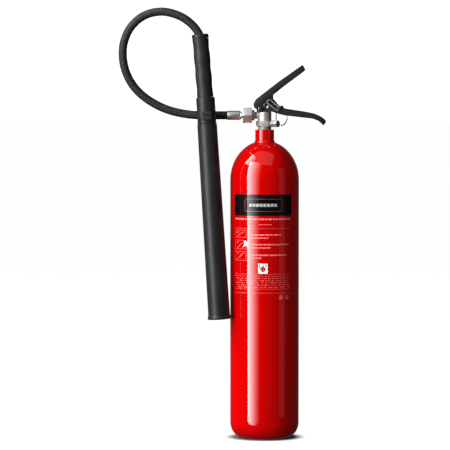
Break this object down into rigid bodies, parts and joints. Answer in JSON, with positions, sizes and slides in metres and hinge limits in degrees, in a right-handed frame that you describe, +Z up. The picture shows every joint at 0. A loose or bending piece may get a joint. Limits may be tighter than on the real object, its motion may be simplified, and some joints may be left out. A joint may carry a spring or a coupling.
{
  "type": "fire extinguisher",
  "caption": "Portable carbon dioxide fire extinguisher: red steel bottle with a squeeze-grip valve, a carry handle, a safety pin, a looped hose and a long black discharge horn.",
  "frame": {"origin": "centre of the bottle's flat base, on its axis, at the floor", "axes": "+Z up the bottle's axis, -Y out of the label, +X toward the handle's tip and -X toward the hose"},
  "size_m": [0.4092, 0.1365, 0.8503],
  "materials": {
    "red_paint": "glossy red powder coat",
    "black_print": "black printed film",
    "label_print": "red printed film with pale print",
    "nickel_plate": "satin nickel plate",
    "bright_steel": "bright steel",
    "brass": "machined brass",
    "black_paint": "semi-matte black powder coat",
    "black_plastic": "satin moulded plastic",
    "grip_rubber": "satin moulded rubber",
    "hose_rubber": "rubber hose with a fine woven cover",
    "seal_rubber": "matt seal rubber",
    "pale_nylon": "pale nylon"
  },
  "bodies": {
    "root": {"cylinder_shell": "red_paint", "label_band": "black_print", "label_sheet": "label_print", "valve_body": "nickel_plate", "gland_nut": "nickel_plate", "stem_o_ring": "seal_rubber", "spring_retainer": "brass", "dip_tube_adapter": "brass", "dip_tube": "bright_steel", "relief_plug": "nickel_plate", "burst_disc": "bright_steel", "carry_handle": "black_paint", "pivot_rivet_front": "bright_steel", "pivot_rivet_rear": "bright_steel", "tamper_seal": "pale_nylon", "union_nut": "nickel_plate", "outlet_washer": "seal_rubber"},
    "operating_lever": {"operating_lever": "black_paint", "striker_pin": "bright_steel"},
    "valve_stem": {"valve_stem": "bright_steel", "valve_poppet": "brass", "poppet_seal": "seal_rubber", "stem_spring": "bright_steel"},
    "safety_pin": {"safety_pin": "bright_steel"},
    "pull_ring": {"pull_ring": "bright_steel"},
    "hose_and_horn": {"hose_tail": "nickel_plate", "hose_ferrule": "nickel_plate", "hose": "hose_rubber", "horn_end_ferrule": "nickel_plate", "horn_pipe": "bright_steel", "discharge_nozzle": "brass", "horn_collar": "black_plastic", "horn_tube": "black_plastic", "horn_grip": "grip_rubber", "grip_end_cap": "black_plastic", "clip_band": "bright_steel", "clip_buckle": "black_plastic", "hose_clip": "black_plastic"}
  },
  "joints": [
    {"name": "lever_squeeze", "type": "hinge", "parent": "root", "child": "operating_lever", "pos_m": [-0.0087, 0, 0.6516], "axis": [0, 1, 0], "range_deg": [0, 18], "stiffness_Nm_per_rad": 0.8, "springref_deg": -14.32},
    {"name": "stem_travel", "type": "slide", "parent": "root", "child": "valve_stem", "axis": [0, 0, -1], "range_m": [0, 0.0034], "deforming": ["stem_spring"]},
    {"name": "pin_pull", "type": "slide", "parent": "root", "child": "safety_pin", "axis": [0, 1, 0], "range_m": [0, 0.045]},
    {"name": "ring_swing", "type": "hinge", "parent": "safety_pin", "child": "pull_ring", "pos_m": [0.03401, 0.03123, 0.6522], "axis": [0.6428, -0.766, 0], "range_deg": [-10, 70]},
    {"name": "hose_swivel", "type": "hinge", "parent": "root", "child": "hose_and_horn", "pos_m": [-0.034, 0, 0.6385], "axis": [-1, 0, 0], "range_deg": [0, 90]}
  ],
  "couplings": [
    {"joint": "stem_travel", "follows": "lever_squeeze", "m_per_rad": 0.0104}
  ]
}
